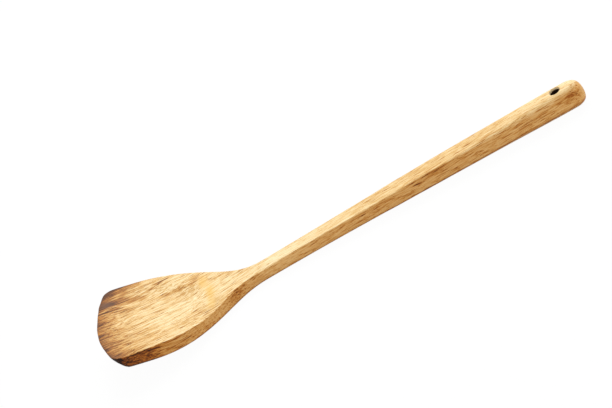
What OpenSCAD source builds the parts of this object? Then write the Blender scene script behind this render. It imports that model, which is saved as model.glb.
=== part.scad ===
// Wooden turner: one piece of wood, an angled flat blade that runs into a long tapering handle
// with a hanging hole. Millimetres. +X runs from the blade's tip to the handle's end, +Z is up,
// and the turner lies as it does on a table, on the neck's underside and the handle's end.

/* [Overall] */
// length from the middle of the tip to the handle's end
overall_l = 362; // [310:1:420]

/* [Blade] */
// widest part of the blade
blade_w = 85; // [64:1:100]
// from the tip to the neck
blade_l = 122; // [105:1:135]
// thickness along the sides
blade_t = 11; // [8:0.2:14]
// angle between the blade and the handle
blade_tilt = 16; // [4:0.5:20]
// where the blade starts to bend up from its flat front part
bend_start = 41; // [30:1:70]

/* [Blade outline] */
// how far the tip's middle stands in front of its corners
tip_bow = 8.5; // [1:0.5:12]
// radius of the tip's two corners, seen from above
tip_corner_r = 5.5; // [2:0.5:10]
// where the sides begin to turn in
shoulder_start = 6; // [3:1:30]
// higher keeps the shoulders wide for longer
shoulder_fullness = 3.7; // [2.2:0.1:4.2]
// higher makes a longer, softer sweep into the neck
shoulder_sweep = 3.4; // [1.6:0.1:3.8]

/* [Tip edge] */
// thickness of the edge that slides under the food
tip_t = 2; // [1.8:0.1:4]
// length of the bevel underneath it
tip_bevel_l = 8; // [6:0.5:20]
// rounding of the edge itself
tip_edge_r = 0.7; // [0.3:0.05:0.8]

/* [Dish] */
// depth of the shallow hollow in the top of the blade
dish_depth = 2.4; // [0:0.1:3.4]
// from the tip to the hollow's inner end
dish_l = 80; // [60:1:95]
// border left between the hollow and the blade's sides
dish_border = 4.5; // [3:0.5:10]
// how wide its sloping wall is, as a share of its half width
dish_wall = 0.42; // [0.3:0.02:0.9]

/* [Edges] */
// rounding of the blade's upper rim
rim_r = 0.8; // [0.4:0.1:1.6]
// rounding of the blade's lower edge
under_r = 3; // [1:0.1:4]

/* [Handle] */
// width at the neck
neck_w = 11.6; // [10:0.2:16]
// thickness at the neck
neck_t = 9.5; // [8:0.1:13]
// width where the handle is widest
grip_w = 19.6; // [16:0.2:26]
// from the handle's end to its widest place
grip_back = 26; // [15:1:60]
// width at the end
butt_w = 16.6; // [14:0.2:22]
// thickness at the end
butt_t = 18.2; // [13:0.2:20]
// how far the middle of the end stands out past its upper and lower edges
butt_dome = 2.5; // [0:0.1:4]
// rounding of the handle's long edges at the end
grip_r = 6.2; // [3:0.1:6.6]
// how much the handle's faces bulge at the end
grip_crown = 1.1; // [0:0.1:1.4]
// rounding of the end, seen from above
butt_corner_r = 7.8; // [4:0.1:9]
// rounding of the end, seen from the side
butt_edge_r = 2.5; // [1:0.5:4]

/* [Hanging hole] */
// diameter of the hole
hole_d = 7.5; // [4:0.1:9]
// from the handle's end to the hole's middle
hole_back = 17; // [14:0.5:30]
// width of the eased edge at both mouths
hole_ease = 0.6; // [0.2:0.1:1.2]

/* [Hidden] */
// which sub-part to build

wood = [0.80, 0.60, 0.34];
grip_x = overall_l - grip_back;
hole_x = overall_l - hole_back;
// where the handle starts to thicken, its faces to bulge and its long edges to soften
taper_start = 0.69 * blade_l;
crown_start = blade_l;
edge_start = 2 * blade_l;
// where the blade starts to thin toward the neck, and where it is as thin as the neck
thin_start = 0.8 * bend_start;
thin_end = 0.85 * blade_l;
// how far behind the tip its bow dies out
bow_l = 1.2 * bend_start;
// where the hollow rounds off to its inner end, and how far behind the tip it is at full depth
dish_round = 0.4 * dish_l;
dish_lead = 0.3 * dish_l;
// the end's rounding, as far as its width allows, and how far forward its dome reaches
end_r = min(butt_corner_r, 0.48 * butt_w);
dome_l = 2 * end_r;
rim_steps = 5;
face_steps = 16;

function clamp01(t) = min(max(t, 0), 1);
function ease(t) = pow(clamp01(t), 2) * (3 - 2 * clamp01(t));

// half of the width at station x
function shoulder(x) = clamp01((x - shoulder_start) / (blade_l - shoulder_start));
function blade_part(x) = pow(1 - pow(shoulder(x), shoulder_fullness), shoulder_sweep);
function grip_part(x) = x < grip_x
    ? neck_w + (grip_w - neck_w) * ease((x - blade_l) / (grip_x - blade_l))
    : grip_w - (grip_w - butt_w) * pow((x - grip_x) / grip_back, 2);
function half_w(x) = ((blade_w - neck_w) * blade_part(x) + grip_part(x)) / 2;

// thickness at station x: bevelled tip, blade, neck, handle
function tip_part(x) = (blade_t - tip_t) * (1 - sin(90 * clamp01(x / tip_bevel_l)));
function neck_part(x) = (neck_t - blade_t) * ease((x - thin_start) / (thin_end - thin_start));
function butt_part(x) = (butt_t - neck_t) * pow(clamp01((x - taper_start) / (overall_l - taper_start)), 2);
function thick(x) = blade_t - tip_part(x) + neck_part(x) + butt_part(x);

// height of the top: straight handle, bend, straight blade
slope = tan(blade_tilt);
bend_l = blade_l - bend_start;
function top_z(x) = x > bend_start
    ? slope * pow(max(blade_l - x, 0), 2) / (2 * bend_l)
    : slope * (bend_l / 2 + bend_start - x);

// roundings and bulge along the length
function edge_mix(x) = ease((x - edge_start) / (overall_l - edge_start));
function rim(x) = min(rim_r + (grip_r - rim_r) * edge_mix(x), 0.4 * thick(x));
function under(x) = min(under_r + (grip_r - under_r) * edge_mix(x), 0.4 * thick(x));
function crown(x) = grip_crown * ease((x - crown_start) / (overall_l - crown_start));

// shallow hollow: full depth in the middle, nothing at its border
function dish_r(x, y) = norm([
    y / max(half_w(x) - dish_border, 1),
    max(x - dish_round, 0) / (dish_l - dish_round)
]);
function dish(x, y) = dish_depth * ease((1 - dish_r(x, y)) / dish_wall) * ease(x / dish_lead);

// a quarter circle's inset, from r at d = 0 to nothing at d = r
function inset(d, r) = d >= r ? 0 : r - sqrt(pow(r, 2) - pow(r - d, 2));
function end_gap(x) = overall_l - x;
function plan_in(x) = inset(x, tip_corner_r) + inset(end_gap(x), end_r);
function side_in(x) = inset(x, tip_edge_r) + butt_edge_r * inset(end_gap(x), end_r) / end_r;

// the end's dome: how far forward a point lies at height z above the section's middle
function dome_in(x, z) = butt_dome * clamp01(1 - end_gap(x) / dome_l) * pow(2 * z / butt_t, 2);

// upper half of a section's outline, from the near side over the top to the far side
function upper(a, r, t) = concat(
    [for (i = [0 : rim_steps]) let (q = 90 * i / rim_steps) [-a + r - r * cos(q), t / 2 - r + r * sin(q)]],
    [for (i = [1 : face_steps - 1]) [(-a + r) + 2 * (a - r) * i / face_steps, t / 2]],
    [for (i = [0 : rim_steps]) let (q = 90 * i / rim_steps) [a - r + r * sin(q), t / 2 - r + r * cos(q)]]
);
half_n = 2 * (rim_steps + 1) + face_steps - 1;
ring_n = 2 * half_n;

// full outline: the lower half runs back under the upper one, point for point
function outline(a, rt, rb, t) = let (lo = upper(a, rb, t), up = upper(a, rt, t))
    concat(up, [for (i = [half_n - 1 : -1 : 0]) [lo[i][0], -lo[i][1]]]);

// the faces bulge a little toward the handle's end
function bulge(p, a, t, c) = let (u = p[0] / a, v = 2 * p[1] / t) [
    p[0] - c * u * pow(v, 2),
    p[1] - c * v * pow(u, 2)
];

// one section, bent forward in the middle near the tip and at its top and bottom near the end
function bow_x(x, y) = x + tip_bow * clamp01(1 - x / bow_l) * pow(y / half_w(0), 2);
function section(x) = let (
    a = half_w(x),
    t = thick(x),
    ring = outline(a, rim(x), under(x), t),
    wide = (a - plan_in(x)) / a,
    high = (t - 2 * side_in(x)) / t
) [for (i = [0 : ring_n - 1]) let (
    p = bulge(ring[i], a, t, crown(x)),
    y = p[0] * wide,
    z = p[1] * high,
    on_top = i > rim_steps && i < half_n - 1 - rim_steps,
    drop = on_top ? dish(x, y) : 0,
    xx = bow_x(x, y) - dome_in(x, z)
) [xx, y, top_z(xx) - t / 2 + z - drop]];

// stations along the length: dense round the tip's corners, the bend and the end
corner_l = tip_corner_r - tip_edge_r;
tip_rows = concat(
    [0, 0.15 * tip_edge_r, 0.5 * tip_edge_r, tip_edge_r],
    [for (q = [30 : 15 : 90]) tip_edge_r + corner_l * (1 - cos(q))]
);
neck_end = 1.07 * blade_l;
blade_step = (neck_end - tip_corner_r) / 40;
blade_rows = [for (i = [1 : 40]) tip_corner_r + blade_step * i];
grip_step = (overall_l - end_r - neck_end) / 24;
grip_rows = [for (i = [1 : 24]) neck_end + grip_step * i];
butt_rows = [for (q = [10 : 10 : 90]) overall_l - end_r * (1 - sin(q))];
rows = concat(tip_rows, blade_rows, grip_rows, butt_rows);
row_n = len(rows);

// the underside's middle line, and the tilt that lays it on the table
function under_z(x) = top_z(x) - thick(x) + side_in(x);
function under_x(x) = x - dome_in(x, thick(x) / 2 - side_in(x));
function rise(i, b) = (under_z(i) - under_z(b)) / (under_x(b) - i);
belly = [for (x = rows) if (x > bend_start / 2 && x < overall_l / 2) x];
tail = [for (x = rows) if (x > overall_l - 3 * end_r) x];
rest_a = atan(max([for (b = tail) min([for (i = belly) rise(i, b)])]));

function laid(p) = [p[0] * cos(rest_a) - p[2] * sin(rest_a), p[1], p[2] * cos(rest_a) + p[0] * sin(rest_a)];
raw = [for (x = rows) each [for (p = section(x)) laid(p)]];
x_lo = min([for (p = raw) p[0]]);
x_hi = max([for (p = raw) p[0]]);
z_lo = min([for (p = raw) p[2]]);
shift = [-(x_lo + x_hi) / 2, 0, -z_lo];

skin = [for (r = [0 : row_n - 2]) for (j = [0 : ring_n - 1]) let (
    k = (j + 1) % ring_n,
    p = r * ring_n
) each [
    [p + j, p + k, p + ring_n + k],
    [p + j, p + ring_n + k, p + ring_n + j]
]];
function cap(p) = [for (j = [0 : half_n - 2]) each [
    [p + j, p + j + 1, p + ring_n - 2 - j],
    [p + j, p + ring_n - 2 - j, p + ring_n - 1 - j]
]];
function flip(f) = [for (t = f) [t[2], t[1], t[0]]];

// the cap at the handle's end follows the dome, by points between its upper and lower edge
end_steps = 6;
end_ring = section(overall_l);
end_x = max([for (p = end_ring) p[0]]);
function end_point(j, i) = let (
    a = end_ring[j],
    b = end_ring[ring_n - 1 - j],
    h = (a[2] - b[2]) / 2,
    p = a + (b - a) * i / end_steps,
    out = dome_in(overall_l, h) - dome_in(overall_l, h * (1 - 2 * i / end_steps))
) [min(p[0] + out, end_x), p[1], p[2]];
end_points = [for (j = [1 : half_n - 2]) for (i = [1 : end_steps - 1]) laid(end_point(j, i))];
function end_i(j, i) = i == 0
    ? j
    : i == end_steps || j == 0 || j == half_n - 1
        ? ring_n - 1 - j
        : ring_n + (j - 1) * (end_steps - 1) + i - 1;
function end_cap(p) = [for (j = [0 : half_n - 2]) for (i = [0 : end_steps - 1]) for (t = [
    [end_i(j, i), end_i(j + 1, i), end_i(j + 1, i + 1)],
    [end_i(j, i), end_i(j + 1, i + 1), end_i(j, i + 1)]
]) if (t[0] != t[2] && t[1] != t[2]) [for (k = t) p + k]];

module body() {
    polyhedron(
        points = [for (p = concat(raw, end_points)) p + shift],
        faces = concat(skin, flip(cap(0)), end_cap((row_n - 1) * ring_n))
    );
}

// the hole stands square to the handle's top
module hanging_hole() {
    t = thick(hole_x);
    translate(shift) rotate([0, -rest_a, 0]) translate([hole_x, 0, -t / 2]) {
        cylinder(h = t + hole_d, d = hole_d, center = true, $fn = 48);
        for (side = [0, 180]) rotate([side, 0, 0]) translate([0, 0, t / 2 - hole_ease]) {
            cylinder(h = 2 * hole_ease, r1 = hole_d / 2, r2 = hole_d / 2 + 2 * hole_ease, $fn = 48);
        }
    }
}

module turner() {
    color(wood) difference() {
        body();
        hanging_hole();
    }
}

turner();
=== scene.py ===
# Wooden turner: one piece of oiled hardwood, laid as it rests on a table.
# The tip points to -X and the handle's end to +X. Sizes are in millimetres and go out in metres.
import math
import bmesh
import bpy
from mathutils import Matrix, Vector


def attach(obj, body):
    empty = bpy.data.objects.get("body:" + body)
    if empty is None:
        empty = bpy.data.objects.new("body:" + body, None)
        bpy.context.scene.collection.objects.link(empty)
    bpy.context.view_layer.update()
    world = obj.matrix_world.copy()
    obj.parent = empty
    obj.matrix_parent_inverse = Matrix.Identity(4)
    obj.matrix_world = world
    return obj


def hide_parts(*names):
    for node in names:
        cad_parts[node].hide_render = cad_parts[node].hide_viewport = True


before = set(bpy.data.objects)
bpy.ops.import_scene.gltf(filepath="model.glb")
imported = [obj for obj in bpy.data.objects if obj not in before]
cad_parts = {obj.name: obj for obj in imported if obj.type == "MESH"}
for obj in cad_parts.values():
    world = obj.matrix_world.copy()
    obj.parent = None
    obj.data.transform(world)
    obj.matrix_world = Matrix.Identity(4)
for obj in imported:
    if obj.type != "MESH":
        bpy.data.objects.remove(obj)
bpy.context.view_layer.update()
print("frame loaded")

mm = 0.001


# shared helpers
def linearColour(hexCode):  # sRGB hex to the linear colour that sockets take
    parts = [int(hexCode[i:i + 2], 16) / 255 for i in (1, 3, 5)]
    return [p / 12.92 if p <= 0.04045 else ((p + 0.055) / 1.055) ** 2.4 for p in parts] + [1.0]


def addNode(tree, kind, links=None, **settings):
    # a link goes to an open socket's name or place, and comes from a node, a socket or a plain value
    made = tree.nodes.new("ShaderNode" + kind)
    for name, value in settings.items():
        setattr(made, name, value)
    for key, value in (links or {}).items():
        socket = next(s for i, s in enumerate(made.inputs) if s.enabled and key in (i, s.name))
        if isinstance(value, bpy.types.Node):
            value = next(s for s in value.outputs if s.enabled)
        if isinstance(value, bpy.types.NodeSocket):
            tree.links.new(value, socket)
        else:
            socket.default_value = value
    return made


def newMaterial(name):
    material = bpy.data.materials.new(name)
    material.use_nodes = True
    material.node_tree.nodes.clear()
    return material, material.node_tree


def clamp(t):
    return min(max(t, 0.0), 1.0)


def ease(t):
    return clamp(t) ** 2 * (3 - 2 * clamp(t))


def quarterInset(d, r):  # a quarter circle's inset, from r at d = 0 to nothing at d = r
    return 0.0 if d >= r else r - math.sqrt(max(r * r - (r - d) ** 2, 0))


# the turner's shape
turner = {
    "length": 362, "bladeWidth": 85, "bladeLength": 122, "bladeThick": 11,
    "bladeTilt": 16, "bendStart": 41,
    "tipBow": 8.5, "tipCorner": 5.5, "tipThick": 2, "tipBevel": 8, "tipEdge": 0.7,
    "shoulderStart": 6, "shoulderFull": 3.7, "shoulderSweep": 3.4,
    "dishDepth": 2.4, "dishLength": 80, "dishBorder": 4.5, "dishWall": 0.42,
    "rimRound": 0.8, "underRound": 3,
    "neckWidth": 11.6, "neckThick": 9.5, "gripWidth": 19.6, "gripBack": 26,
    "buttWidth": 16.6, "buttThick": 18.2, "buttDome": 2.5, "gripRound": 6.2, "gripCrown": 1.1,
    "buttCorner": 7.8, "buttEdge": 2.5,
    "holeWidth": 7.5, "holeBack": 17, "holeEase": 0.8,
    "grainLean": 0.26, "leanStart": 90, "leanEnd": 145,  # the grain runs slantwise across the blade
    # how far the hand-cut edges stray: the sides outward, the near rim upward, the tip toward the handle
    "sideStray": [(4, 0), (12, 0.3), (30, 0.45), (48, 0.35), (70, 0), (205, 0), (218, 0.25), (240, 0),
                  (262, -0.25), (300, -0.3), (330, 0)],
    "rimStray": [(0, -0.5), (13, -0.7), (22, 0.4), (43, 0.9), (57, 0.2), (72, -0.9), (79, -0.9), (90, 0),
                 (98, 0.3), (106, 0), (119, -0.9), (138, 0), (212, 0), (240, 0.8), (268, 0.2), (280, 0)],
    "tipStray": [(-44, -0.4), (-38, 0.1), (-30, 0), (-18, -0.3), (-4, 0), (8, 0.4), (18, 0.2), (26, -0.4),
                 (30, -0.3), (36, -0.6), (42, 0)],
    "rowStep": 1.5, "rimSteps": 8, "faceSteps": 44, "endSteps": 10,    # how finely the skin is drawn
    "holeSides": 64, "holeEaseSteps": 5,
}
t = turner
gripStart = t["length"] - t["gripBack"]
holeAt = t["length"] - t["holeBack"]
taperStart, edgeStart = 0.69 * t["bladeLength"], 2 * t["bladeLength"]
thinStart, thinEnd = 0.8 * t["bendStart"], 0.85 * t["bladeLength"]
bowLength = 1.2 * t["bendStart"]
dishRound, dishLead = 0.4 * t["dishLength"], 0.3 * t["dishLength"]
domeLength = 2 * t["buttCorner"]
slope = math.tan(math.radians(t["bladeTilt"]))


def strayed(points, at):  # smooth line through the points
    for (a, low), (b, high) in zip(points, points[1:]):
        if a <= at < b:
            return low + (high - low) * ease((at - a) / (b - a))
    return 0.0


def halfWidth(x):
    s = clamp((x - t["shoulderStart"]) / (t["bladeLength"] - t["shoulderStart"]))
    blade = (1 - s ** t["shoulderFull"]) ** t["shoulderSweep"]
    if x < gripStart:
        spread = ease((x - t["bladeLength"]) / (gripStart - t["bladeLength"]))
        grip = t["neckWidth"] + (t["gripWidth"] - t["neckWidth"]) * spread
    else:
        grip = t["gripWidth"] - (t["gripWidth"] - t["buttWidth"]) * ((x - gripStart) / t["gripBack"]) ** 2
    return ((t["bladeWidth"] - t["neckWidth"]) * blade + grip) / 2 + strayed(t["sideStray"], x)


def thickness(x):
    bevel = (t["bladeThick"] - t["tipThick"]) * (1 - math.sin(math.pi / 2 * clamp(x / t["tipBevel"])))
    neck = (t["neckThick"] - t["bladeThick"]) * ease((x - thinStart) / (thinEnd - thinStart))
    butt = (t["buttThick"] - t["neckThick"]) * clamp((x - taperStart) / (t["length"] - taperStart)) ** 2
    return t["bladeThick"] - bevel + neck + butt


def bent(x, start, end):  # falls by 1 for each mm up to start, then ever less, and is level from end on
    if x > start:
        return max(end - x, 0) ** 2 / (2 * (end - start))
    return (end - start) / 2 + start - x


def topHeight(x):  # straight handle, bend, straight blade
    return slope * bent(x, t["bendStart"], t["bladeLength"])


def edgeRound(x, atBlade):
    mix = ease((x - edgeStart) / (t["length"] - edgeStart))
    return min(atBlade + (t["gripRound"] - atBlade) * mix, 0.4 * thickness(x))


def dishAt(x, y):  # shallow hollow in the top of the blade
    across = y / max(halfWidth(x) - t["dishBorder"], 1)
    along = max(x - dishRound, 0) / (t["dishLength"] - dishRound)
    wall = ease((1 - math.hypot(across, along)) / t["dishWall"])
    return t["dishDepth"] * wall * ease(x / dishLead)


def sideInset(x):
    end = quarterInset(t["length"] - x, t["buttCorner"])
    return quarterInset(x, t["tipEdge"]) + t["buttEdge"] * end / t["buttCorner"]


def planInset(x):
    return quarterInset(x, t["tipCorner"]) + quarterInset(t["length"] - x, t["buttCorner"])


def domeInset(x, z):  # the end's middle stands out past its upper and lower edges
    near = clamp(1 - (t["length"] - x) / domeLength)
    return t["buttDome"] * near * (2 * z / t["buttThick"]) ** 2


def upperOutline(a, r, thick):
    steps, faces = t["rimSteps"], t["faceSteps"]
    turns = [math.pi / 2 * i / steps for i in range(steps + 1)]
    near = [(-a + r - r * math.cos(q), thick / 2 - r + r * math.sin(q)) for q in turns]
    flat = [(-a + r + 2 * (a - r) * i / faces, thick / 2) for i in range(1, faces)]
    far = [(a - r + r * math.sin(q), thick / 2 - r + r * math.cos(q)) for q in turns]
    return near + flat + far


def section(x):
    a, thick = halfWidth(x), thickness(x)
    upper = upperOutline(a, edgeRound(x, t["rimRound"]), thick)
    lower = upperOutline(a, edgeRound(x, t["underRound"]), thick)
    onTop = range(t["rimSteps"] + 1, len(upper) - 1 - t["rimSteps"])
    wide, high = (a - planInset(x)) / a, (thick - 2 * sideInset(x)) / thick
    crown = t["gripCrown"] * ease((x - t["bladeLength"]) / (t["length"] - t["bladeLength"]))
    points = []
    for i, (y, z) in enumerate(upper + [(p[0], -p[1]) for p in reversed(lower)]):
        u, v = y / a, 2 * z / thick
        z += strayed(t["rimStray"], x) * clamp(v) * ease((-u - 0.2) / 0.8)
        y, z = (y - crown * u * v * v) * wide, (z - crown * v * u * u) * high
        bowed = x + t["tipBow"] * clamp(1 - x / bowLength) * (y / halfWidth(0)) ** 2 - domeInset(x, z)
        bowed += strayed(t["tipStray"], y) * clamp(1 - x / bowLength)
        drop = dishAt(x, y) if i in onTop else 0
        points.append(Vector((bowed, y, topHeight(bowed) - thick / 2 + z - drop)))
    return points


def stations():  # close together round the tip's corners and at the handle's end
    edge, corner = t["tipEdge"], t["tipCorner"]
    tip = [0, 0.05 * edge, 0.15 * edge, 0.5 * edge, edge]
    tip += [edge + (corner - edge) * (1 - math.cos(math.radians(q))) for q in range(15, 91, 7)]
    span = t["length"] - t["buttCorner"] - corner
    count = round(span / t["rowStep"])
    middle = [corner + span * i / count for i in range(1, count + 1)]
    butt = [t["length"] - t["buttCorner"] * (1 - math.sin(math.radians(q))) for q in range(6, 91, 6)]
    return tip + middle + butt


rows = stations()
underside = [(x - domeInset(x, thickness(x) / 2 - sideInset(x)), topHeight(x) - thickness(x) + sideInset(x))
             for x in rows]
belly = [p for p in underside if t["bendStart"] / 2 < p[0] < t["length"] / 2]
tail = [p for p in underside if p[0] > t["length"] - 3 * t["buttCorner"]]
restTilt = math.atan(max(min((b[1] - e[1]) / (e[0] - b[0]) for b in belly) for e in tail))
lay = Matrix.Rotation(-restTilt, 4, "Y")  # lays it on its neck and its handle's end
print("resting tilt", round(math.degrees(restTilt), 3))

rings = [section(x) for x in rows]
laid = [lay @ p for ring in rings for p in ring]
low = [min(p[k] for p in laid) for k in range(3)]
high = [max(p[k] for p in laid) for k in range(3)]
place = Matrix.Translation((-(low[0] + high[0]) / 2, 0, -low[2])) @ lay

skin = bmesh.new()
ringVerts = [[skin.verts.new((place @ p) * mm) for p in ring] for ring in rings]
count = len(rings[0])
for a, b in zip(ringVerts, ringVerts[1:]):
    for j in range(count):
        k = (j + 1) % count
        skin.faces.new((a[j], b[j], b[k], a[k]))


def endColumn(x, upper, lower):  # across the end face, from an upper to a lower point, over the dome
    high, steps = (upper.z - lower.z) / 2, t["endSteps"]
    column = [upper.lerp(lower, i / steps) for i in range(1, steps)]
    for i, point in enumerate(column, 1):
        point.x += domeInset(x, high) - domeInset(x, high * (1 - 2 * i / steps))
    return [skin.verts.new((place @ p) * mm) for p in column]


for x, ring, verts in ((rows[0], rings[0], ringVerts[0]), (rows[-1], rings[-1], ringVerts[-1])):
    columns, last = [], count // 2 - 1
    for j in range(last + 1):
        middle = endColumn(x, ring[j], ring[count - 1 - j]) if 0 < j < last else []
        columns.append([verts[j]] + middle + [verts[count - 1 - j]])
    for a, b in zip(columns[1:], columns[2:-1]):
        for i in range(t["endSteps"]):
            skin.faces.new((a[i], b[i], b[i + 1], a[i + 1]))
    skin.faces.new(columns[0] + columns[1][::-1])
    skin.faces.new(columns[-1] + columns[-2][::-1])
bmesh.ops.recalc_face_normals(skin, faces=skin.faces)
bodyMesh = bpy.data.meshes.new("turnerBody")
skin.to_mesh(bodyMesh)
skin.free()
body = bpy.data.objects.new("turnerBody", bodyMesh)
bpy.context.collection.objects.link(body)


def holeCutter():  # a drill's round, with both mouths eased by sandpaper
    thick, r, soft, sides = thickness(holeAt), t["holeWidth"] / 2, t["holeEase"], t["holeSides"]
    mouth = [(r + soft, 2 * soft)]  # radius and height of each ring, from above the mouth downward
    for i in range(t["holeEaseSteps"] + 1):
        q = math.pi / 2 * i / t["holeEaseSteps"]
        mouth.append((r + soft * (1 - math.sin(q)), -soft * (1 - math.cos(q))))
    profile = mouth + [(radius, -thick - z) for radius, z in reversed(mouth)]
    turns = [2 * math.pi * i / sides for i in range(sides)]
    shape = bmesh.new()
    loops = []
    for radius, z in profile:
        ring = [Vector((holeAt + radius * math.cos(q), radius * math.sin(q), z)) for q in turns]
        loops.append([shape.verts.new((place @ p) * mm) for p in ring])
    for a, b in zip(loops, loops[1:]):
        for j in range(sides):
            shape.faces.new((a[j], a[(j + 1) % sides], b[(j + 1) % sides], b[j]))
    shape.faces.new(loops[0])
    shape.faces.new(reversed(loops[-1]))
    bmesh.ops.recalc_face_normals(shape, faces=shape.faces)
    mesh = bpy.data.meshes.new("holeCutter")
    shape.to_mesh(mesh)
    shape.free()
    made = bpy.data.objects.new("holeCutter", mesh)
    bpy.context.collection.objects.link(made)
    return made


cutter = holeCutter()
drill = body.modifiers.new("hanging hole", "BOOLEAN")
drill.operation, drill.solver, drill.object = "DIFFERENCE", "EXACT", cutter
bpy.context.view_layer.update()
drilled = bpy.data.meshes.new_from_object(body.evaluated_get(bpy.context.evaluated_depsgraph_get()))
body.modifiers.clear()
body.data = drilled
bpy.data.objects.remove(cutter)
for face in drilled.polygons:
    face.use_smooth = True
drilled.set_sharp_from_angle(angle=math.radians(50))

# where each point lies in the wood: along the bent grain, across it, and down from the top, in mm
back = place.inverted()
grain = drilled.attributes.new("grain", "FLOAT_VECTOR", "POINT")
lean = drilled.attributes.new("lean", "FLOAT_VECTOR", "POINT")
for i, vert in enumerate(drilled.vertices):
    p = back @ (vert.co / mm)
    grain.data[i].vector = (p.x, p.y, p.z - topHeight(p.x))
    lean.data[i].vector = (0, t["grainLean"] * bent(p.x, t["leanStart"], t["leanEnd"]), 0)
print("turner skinned:", len(drilled.vertices), "points")


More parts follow.
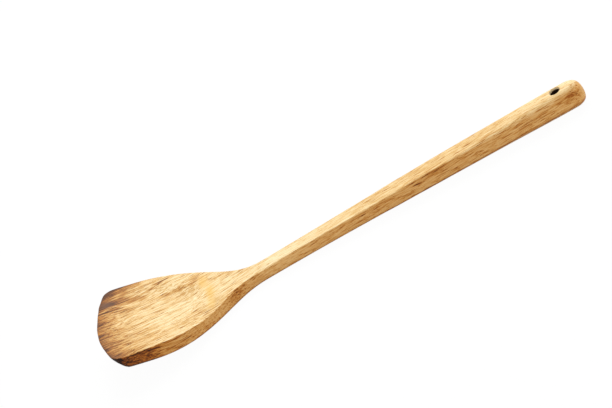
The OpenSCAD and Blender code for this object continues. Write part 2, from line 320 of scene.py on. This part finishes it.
# Oiled acacia, sawn, sanded fine and wiped with oil: pale honey sapwood with brown pores and streaks
# along the grain, cut sides painted browner, partly for the oil they drink and partly as painted shade, and dark
# heartwood that runs out at the tip.
oiledAcacia = {
    # how dark the wood is, from 0 for the palest sapwood to 1 for charred heartwood, and its colour
    "scale": [(0.0, "#F8E7BF"), (0.2, "#EDD3A1"), (0.4, "#D7AE6C"), (0.6, "#B67A38"), (0.8, "#84522C"),
              (1.0, "#2A1A14")],
    "plain": 0.115, "darkestTop": 0.94,
    # layers of noise along the grain: length and width in mm, place in the noise, where it starts and
    # ends to show, and how much darker it makes the wood
    "layers": [
        {"name": "broad tone", "length": 110, "width": 12, "seed": 3.1, "show": (0.38, 0.66), "dark": 0.12},
        {"name": "pale streaks", "length": 26, "width": 1.5, "seed": 8.3, "show": (0.5, 0.66), "dark": -0.1},
        {"name": "brown streaks", "length": 24, "width": 1.3, "seed": 1.7, "show": (0.5, 0.68), "dark": 0.17},
    ],
    # the same for the finest layers, which the sides show more
    "fineLayers": [
        {"name": "fine fibres", "length": 9, "width": 0.6, "seed": 6.1, "show": (0.42, 0.62), "dark": 0.26},
        # real pores are 0.2 to 0.3 mm wide, drawn coarser so that they show
        {"name": "pores", "length": 6, "width": 0.65, "seed": 5.3, "show": (0.57, 0.66), "dark": 0.33},
    ],
    "fineOnSides": 1.0, "fineOnEnds": 0.35, "streaksOnHandle": 0.65, "handleFrom": (100, 160),
    "sidePlain": -0.075,                     # sides are plainer between their streaks than the top
    # dark heartwood that follows the tip's edge: how far it reaches in mm, and how much darker
    "tipHeart": [(36, 0.2), (14, 0.2), (3, 0.08)],
    # stains, heartwood and two painted shades on the handle's near top: middle and half size in mm along, across and
    # down, how much darker, how soft the border is, from 0 for sharp to 1 for fading from the middle, how far
    # streaks fray it, and how much of it is filled
    "stains": [
        {"name": "far tip corner", "at": (4, 37, 0), "size": (38, 20, 14), "dark": 0.19, "soft": 0.9, "fray": 0.6},
        {"name": "near tip corner", "at": (2, -32, 0), "size": (24, 20, 4), "dark": 0.14, "soft": 1.0},
        {"name": "far corner's rim", "at": (13, 48.5, 0), "size": (19, 9.3, 7), "dark": 0.62, "soft": 0.4,
         "fray": 0.35},
        {"name": "far rim", "at": (34, 47, 0), "size": (36, 8, 20), "dark": 0.26, "soft": 0.8},
        {"name": "violet heart", "at": (9, 25.5, 0), "size": (8.5, 5.5, 10), "dark": 0.24, "soft": 1.0, "fray": 0.2},
        {"name": "brown band", "at": (17, 26, 0), "size": (13, 5, 8), "dark": 0.17, "soft": 0.7, "fray": 0.6},
        {"name": "reddish streak", "at": (29, 24, 0), "size": (9, 4.5, 8), "dark": 0.21, "soft": 0.7},
        {"name": "long streak", "at": (50, 19, 0), "size": (21, 3, 6), "dark": 0.2, "soft": 0.6},
        {"name": "blotch", "at": (22, 15, 0), "size": (10, 6, 5), "dark": 0.16, "soft": 0.8},
        {"name": "far flecks", "at": (43, 33, 0), "size": (12, 6, 6), "dark": 0.3, "soft": 0.5, "fray": 5,
         "fill": 0.3},
        {"name": "hollow's far end", "at": (69, 24, 0), "size": (6, 8, 5), "dark": 0.22, "soft": 0.9, "fray": 0.4},
        {"name": "strokes by the heart", "at": (10, 18, 0), "size": (14, 6, 5), "dark": 0.3, "soft": 0.6,
         "fray": 4, "fill": 0.7},
        {"name": "handle's fleck", "at": (277, -2, 0), "size": (5, 1.4, 3), "dark": 0.3, "soft": 0.8, "fray": 0.3},
        {"name": "near rim", "at": (24, -46, 0), "size": (46, 14, 3), "dark": 0.13, "soft": 1.0},
        {"name": "pale neck", "at": (128, -6, -3), "size": (42, 22, 10), "dark": -0.11, "soft": 1.0, "fray": 0.4},
        {"name": "pale middle", "at": (58, -8, 0), "size": (46, 34, 10), "dark": -0.05, "soft": 1.0, "fray": 0.4},
        {"name": "handle's tan", "at": (240, 0, 2), "size": (165, 40, 14), "dark": 0.115, "soft": 1.0},
        # painted shade on the near slope of the handle's rounded top, toward its end
        {"name": "near top's painted shade", "at": (336, -8, -1.5), "size": (75, 6, 6), "dark": 0.1, "soft": 0.9},
        {"name": "tip's middle", "at": (4, 3, 0), "size": (13, 14, 4), "dark": 0.13, "soft": 1.0},
        # painted shade on the near edge of the handle's top, which narrows its lit band
        {"name": "near rim's painted shade", "at": (243, -8, -0.5), "size": (26, 4, 5), "dark": 0.1, "soft": 1.0},
    ],
    # the same for stains of the sides, the end and the underside, which the top doesn't show
    "sideStains": [
        # a darker band along the near side, just under the rim
        {"name": "near side's band under the rim", "at": (38, -44, -0.4), "size": (38, 9, 3.2), "dark": 0.25, "soft": 0.9,
         "fray": 0.4},
        {"name": "near side below", "at": (17, -44, -5), "size": (54, 14, 14), "dark": 0.37, "soft": 1.0,
         "fray": 0.5},
        {"name": "charred corner", "at": (7, -44, -3.4), "size": (7.5, 9, 4.6), "dark": 0.45, "soft": 0.7,
         "fray": 0.4},
        {"name": "near side's streaks", "at": (50, -42, -3), "size": (26, 12, 5), "dark": 0.24, "soft": 0.6,
         "fray": 5, "fill": 0.2},
        {"name": "near side's middle", "at": (62, -40, -2), "size": (36, 16, 8), "dark": 0.2, "soft": 0.9,
         "fray": 2.5, "fill": 0.8},
        {"name": "neck knot", "at": (97, -14, -4), "size": (15, 9, 8), "dark": 0.2, "soft": 0.9},
        {"name": "end's side streaks", "at": (330, -10, -6.2), "size": (54, 5, 3.4), "dark": 0.32, "soft": 0.6,
         "fray": 5, "fill": 0.3},
        {"name": "end's brown", "at": (354, -8, -5.5), "size": (15, 9, 6), "dark": 0.27, "soft": 1.0, "fray": 0.8},
    ],
    # small marks with a colour of their own, and an amber crescent that is partly painted shade on the hollow's end
    # wall, and how much of it shows
    "tints": [
        {"name": "violet bloom", "at": (8, 25, 0), "size": (8, 6.5, 8), "tint": "#7E5D49", "share": 0.5,
         "soft": 1.0, "fray": 0.2},
        {"name": "orange fleck", "at": (44.5, -2, 0), "size": (3, 1.5, 3), "tint": "#C07F3A", "share": 0.9,
         "soft": 0.8, "fray": 0.3},
        # the crescent on the hollow's end wall: partly the wall's amber colour, partly painted shade of that wall
        {"name": "crescent's far part (tint and painted shade)", "at": (74.5, 14, 0), "size": (5, 14, 6), "tint": "#E6B862", "share": 0.6,
         "soft": 0.9, "fray": 0.2},
        {"name": "crescent's middle (tint and painted shade)", "at": (78.5, 0, 0), "size": (5, 15, 6), "tint": "#E6B75A", "share": 0.6,
         "soft": 0.9, "fray": 0.2},
        {"name": "crescent's near part (tint and painted shade)", "at": (78, -14, 0), "size": (4.5, 11, 6), "tint": "#EBC274", "share": 0.55,
         "soft": 0.9, "fray": 0.2},
    ],
    # painted shade deep on the hole's wall, and the wall just below its mouth painted lighter as if lit: depths in
    # mm
    "boreDark": 1.2, "boreLitLift": 0.3, "boreFrom": 1.5, "boreTo": 2.0,
    "underDark": 0.34,                       # rounded lower edges, painted darker as shade where they turn toward the floor
    # the sides' tint: partly the cut sides' darker oiled grain, partly painted shade on faces turned from the light
    "sideTint": "#F3CFA2", "sideFrom": 0.97, "sideTo": 0.5,
    "drift": 4,                              # how far the grain wanders sideways
    "roughness": 0.46, "ior": 1.47, "shine": 0.12,        # thin oil film that has sunk into the wood
}


def woodMaterial():
    w = oiledAcacia
    material, tree = newMaterial("oiled acacia")
    where = addNode(tree, "Attribute", attribute_name="grain").outputs["Vector"]
    along, across, down = addNode(tree, "SeparateXYZ", {0: where}).outputs

    # slow sideways wander of the grain
    slow = addNode(tree, "VectorMath", {0: where, 1: (1 / 70, 1 / 30, 1 / 30)}, operation="MULTIPLY")
    wander = addNode(tree, "TexNoise", {"Vector": slow, "Scale": 1.0, "Detail": 1.0}).outputs["Color"]
    centred = addNode(tree, "VectorMath", {0: wander, 1: (0.5, 0.5, 0.5)}, operation="SUBTRACT")
    pushed = addNode(tree, "VectorMath", {0: centred, 1: (0, w["drift"], w["drift"])}, operation="MULTIPLY")
    leaning = addNode(tree, "VectorMath", {0: where, 1: addNode(tree, "Attribute", attribute_name="lean")
                                           .outputs["Vector"]}, operation="ADD")
    drifted = addNode(tree, "VectorMath", {0: leaning, 1: pushed}, operation="ADD")

    def grainNoise(length, width, seed, detail=2.0, rough=0.55):  # noise stretched along the grain
        scaled = addNode(tree, "VectorMath", {0: drifted, 1: (1 / length, 1 / width, 1 / width)},
                         operation="MULTIPLY")
        moved = addNode(tree, "VectorMath", {0: scaled, 1: (seed, seed * 0.7, seed * 1.3)}, operation="ADD")
        return addNode(tree, "TexNoise", {"Vector": moved, "Scale": 1.0, "Detail": detail, "Roughness": rough})

    def smoothly(value, start, end, full):  # from 0 at start to full at end
        return addNode(tree, "MapRange", {"Value": value, "From Min": start, "From Max": end, "To Max": full},
                       interpolation_type="SMOOTHSTEP")

    def layerDark(layer):
        noise = grainNoise(layer["length"], layer["width"], layer["seed"])
        return smoothly(noise, *layer["show"], layer["dark"])

    parts = []

    # heartwood along the bowed tip's edge, with a streaky border
    ragged = grainNoise(24, 1.6, 21.6)
    bow = addNode(tree, "Math", {0: across, 1: 2.0}, operation="POWER")
    inward = addNode(tree, "Math", {0: bow, 1: -t["tipBow"] / (t["bladeWidth"] / 2) ** 2, 2: along},
                     operation="MULTIPLY_ADD")
    for reach, dark in w["tipHeart"]:
        edged = addNode(tree, "Math", {0: ragged, 1: 0.75 * reach, 2: inward}, operation="MULTIPLY_ADD")
        parts.append(smoothly(edged, 1.4 * reach, 0.3 * reach, dark))

    def stainCover(stain, full):  # 0 outside the stain, up to full in its middle, with a frayed border
        offset = addNode(tree, "VectorMath", {0: where, 1: stain["at"]}, operation="SUBTRACT")
        shrunk = addNode(tree, "VectorMath", {0: offset, 1: [1 / s for s in stain["size"]]},
                         operation="MULTIPLY")
        far = addNode(tree, "VectorMath", {0: shrunk}, operation="LENGTH")
        fray = stain.get("fray", 0.9)
        frayed = addNode(tree, "Math", {0: ragged, 1: fray, 2: far}, operation="MULTIPLY_ADD")
        start = stain.get("fill", 1.0) + fray / 2
        return smoothly(frayed, start, start - stain["soft"], full)

    parts += [stainCover(stain, stain["dark"]) for stain in w["stains"]]

    # painted shade on the hole's wall deep below its mouth; the wall near the mouth is painted lighter, as if lit
    fromHole = addNode(tree, "VectorMath", {0: where, 1: (holeAt, 0, 0)}, operation="SUBTRACT")
    flat = addNode(tree, "VectorMath", {0: fromHole, 1: (1, 1, 0)}, operation="MULTIPLY")
    inHole = addNode(tree, "Math", {0: addNode(tree, "VectorMath", {0: flat}, operation="LENGTH"),
                                    1: t["holeWidth"] / 2 + 0.1}, operation="LESS_THAN")
    boreShadeAndLight = addNode(tree, "Math", {0: smoothly(down, -w["boreFrom"], -w["boreTo"], w["boreDark"]),
                                    1: w["boreLitLift"]}, operation="SUBTRACT")
    parts.append(addNode(tree, "Math", {0: inHole, 1: boreShadeAndLight}, operation="MULTIPLY"))

    # the sides are painted browner, partly as painted shade on faces turned from the light and partly for the oil
    # the cut sides drink; they hide the finest streaks
    lengthways, sideways, facing = addNode(tree, "SeparateXYZ", {0: addNode(tree, "TexCoord")
                                                                 .outputs["Normal"]}).outputs
    upright = addNode(tree, "Math", {0: facing}, operation="ABSOLUTE")
    cut = smoothly(upright, w["sideFrom"], w["sideTo"], 1.0)
    # the hole's wall is kept out of the sides' tint and painted shade, so that it reads as lit
    side = addNode(tree, "Math", {0: cut, 1: inHole}, operation="SUBTRACT", use_clamp=True)
    offTop = smoothly(facing, w["sideFrom"], w["sideTo"], 1.0)
    for stain in w["sideStains"]:
        cover = stainCover(stain, stain["dark"])
        parts.append(addNode(tree, "Math", {0: cover, 1: offTop}, operation="MULTIPLY"))

    # the handle's top is calmer than the blade, and the finest streaks show best on the sides
    handle = smoothly(along, *w["handleFrom"], 1.0)
    calmPlace = addNode(tree, "Math", {0: handle, 1: side}, operation="SUBTRACT", use_clamp=True)
    calm = addNode(tree, "MapRange", {"Value": calmPlace, "To Min": 1.0, "To Max": w["streaksOnHandle"]})
    clear = addNode(tree, "MapRange", {"Value": side, "To Min": 1.0, "To Max": w["fineOnSides"]})
    ends = addNode(tree, "MapRange", {"Value": addNode(tree, "Math", {0: lengthways}, operation="ABSOLUTE"),
                                      "From Min": 0.5, "From Max": 0.85, "To Min": 1.0, "To Max": w["fineOnEnds"]})
    fineShare = addNode(tree, "Math", {0: calm, 1: clear}, operation="MULTIPLY")
    fineShare = addNode(tree, "Math", {0: fineShare, 1: ends}, operation="MULTIPLY")
    parts.append(addNode(tree, "Math", {0: side, 1: w["sidePlain"]}, operation="MULTIPLY"))
    for layers, share in (("layers", calm), ("fineLayers", fineShare)):
        for layer in w[layers]:
            parts.append(addNode(tree, "Math", {0: layerDark(layer), 1: share}, operation="MULTIPLY"))

    # painted shade on the rounded lower edges, where their faces turn down toward the floor
    underShade = addNode(tree, "Math", {0: smoothly(facing, -0.15, -0.55, w["underDark"]), 1: side},
                   operation="MULTIPLY")
    parts.append(underShade)

    dark = w["plain"]
    for part in parts:
        dark = addNode(tree, "Math", {0: dark, 1: part}, operation="ADD")
    limit = addNode(tree, "MapRange", {"Value": cut, "To Min": w["darkestTop"], "To Max": 1.0})
    ramp = addNode(tree, "ValToRGB", {"Fac": addNode(tree, "Math", {0: dark, 1: limit}, operation="MINIMUM")})
    stops = ramp.color_ramp.elements
    while len(stops) < len(w["scale"]):
        stops.new(0.5)
    for stop, (position, hexCode) in zip(stops, w["scale"]):
        stop.position, stop.color = position, linearColour(hexCode)
    colour = ramp
    for mark in w["tints"]:
        colour = addNode(tree, "Mix", {"Factor": stainCover(mark, mark["share"]), "A": colour,
                                       "B": linearColour(mark["tint"])}, data_type="RGBA")

    # painted shade on the sides: the tint darkens faces that turn from the light, together with the cut sides'
    # darker oiled grain
    colour = addNode(tree, "Mix", {"Factor": side, "A": colour, "B": linearColour(w["sideTint"])},
                     data_type="RGBA", blend_type="MULTIPLY")

    fibre = grainNoise(14, 0.9, 2.4, 3.0, 0.6)
    bump = addNode(tree, "Bump", {"Strength": 0.35, "Distance": 0.06 * mm, "Height": fibre})
    gloss = addNode(tree, "MapRange", {"Value": fibre, "From Min": 0.3, "From Max": 0.75,
                                       "To Min": w["roughness"] - 0.05, "To Max": w["roughness"] + 0.08})
    shader = addNode(tree, "BsdfPrincipled", {"Base Color": colour, "Roughness": gloss, "IOR": w["ior"],
                                              "Specular IOR Level": w["shine"], "Normal": bump})
    addNode(tree, "OutputMaterial", {"Surface": shader})
    return material


drilled.materials.clear()
drilled.materials.append(woodMaterial())
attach(body, "root")
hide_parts("turner")
print("wood finished")


# floor and backdrop
studio = {
    "floorSize": 8.0, "floorBounce": "#E0E0DE", "whiteShare": 0.965,
    "skyStrength": 0.68, "keyPower": 27, "keySize": 1.3, "keyFrom": (0.4, 1.0, 1.5),
}


def floorMaterial():
    material, tree = newMaterial("white paper floor")
    matt = addNode(tree, "BsdfDiffuse", {"Color": linearColour(studio["floorBounce"])})
    seen = addNode(tree, "BsdfDiffuse", {"Color": (0.95, 0.95, 0.95, 1)})
    white = addNode(tree, "Emission", {"Color": (1, 1, 1, 1), "Strength": 1.0})
    path = addNode(tree, "LightPath").outputs
    direct = addNode(tree, "Math", {0: path["Is Camera Ray"], 1: path["Is Glossy Ray"]}, operation="MAXIMUM")
    direct = addNode(tree, "Math", {0: direct, 1: path["Is Transmission Ray"]}, operation="MAXIMUM")
    mixed = addNode(tree, "MixShader", {0: studio["whiteShare"], 1: seen, 2: white})
    final = addNode(tree, "MixShader", {0: direct, 1: matt, 2: mixed})
    addNode(tree, "OutputMaterial", {"Surface": final})
    return material


floorMesh = bmesh.new()
bmesh.ops.create_grid(floorMesh, x_segments=8, y_segments=8, size=studio["floorSize"] / 2)
floorData = bpy.data.meshes.new("floor")
floorMesh.to_mesh(floorData)
floorMesh.free()
floor = bpy.data.objects.new("floor", floorData)
bpy.context.collection.objects.link(floor)
floor.location.z = -0.0002
floorData.materials.append(floorMaterial())

world = bpy.data.worlds.new("studio")
bpy.context.scene.world = world
world.use_nodes = True
sky = world.node_tree
sky.nodes.clear()
soft = addNode(sky, "Background", {"Color": (1, 1, 1, 1), "Strength": studio["skyStrength"]})
plain = addNode(sky, "Background", {"Color": (1, 1, 1, 1), "Strength": 1.0})
skyPath = addNode(sky, "LightPath").outputs
skySeen = addNode(sky, "Math", {0: skyPath["Is Camera Ray"], 1: skyPath["Is Glossy Ray"]}, operation="MAXIMUM")
skyMix = addNode(sky, "MixShader", {0: skySeen, 1: soft, 2: plain})
addNode(sky, "OutputWorld", {"Surface": skyMix})

keyData = bpy.data.lights.new("softbox", "AREA")
keyData.shape, keyData.size, keyData.energy = "DISK", studio["keySize"], studio["keyPower"]
key = bpy.data.objects.new("softbox", keyData)
bpy.context.collection.objects.link(key)
key.location = studio["keyFrom"]
key.rotation_euler = (-key.location).to_track_quat("-Z", "Y").to_euler()
print("studio ready")


# camera, as the picture was taken
view = {
    "aim": (-0.02149, 0.03879, 0.012),   # metres, the middle of the picture
    "distance": 1.5859, "azimuth": 10.113, "elevation": 29.364, "roll": -34.181, "lens": 136.73,
}
az, el, roll = (math.radians(view[k]) for k in ("azimuth", "elevation", "roll"))
toCamera = Vector((math.sin(az) * math.cos(el), -math.cos(az) * math.cos(el), math.sin(el)))
level = Vector((math.cos(az), math.sin(az), 0))
upright = toCamera.cross(level)
right = level * math.cos(roll) + upright * math.sin(roll)
above = toCamera.cross(right)
cameraData = bpy.data.cameras.new("camera")
cameraData.lens, cameraData.sensor_width, cameraData.sensor_fit = view["lens"], 36, "HORIZONTAL"
camera = bpy.data.objects.new("camera", cameraData)
bpy.context.collection.objects.link(camera)
turn = Matrix((right, above, toCamera)).transposed().to_4x4()
camera.matrix_world = Matrix.Translation(Vector(view["aim"]) + toCamera * view["distance"]) @ turn
bpy.context.scene.camera = camera
bpy.context.scene.view_settings.view_transform = "Standard"
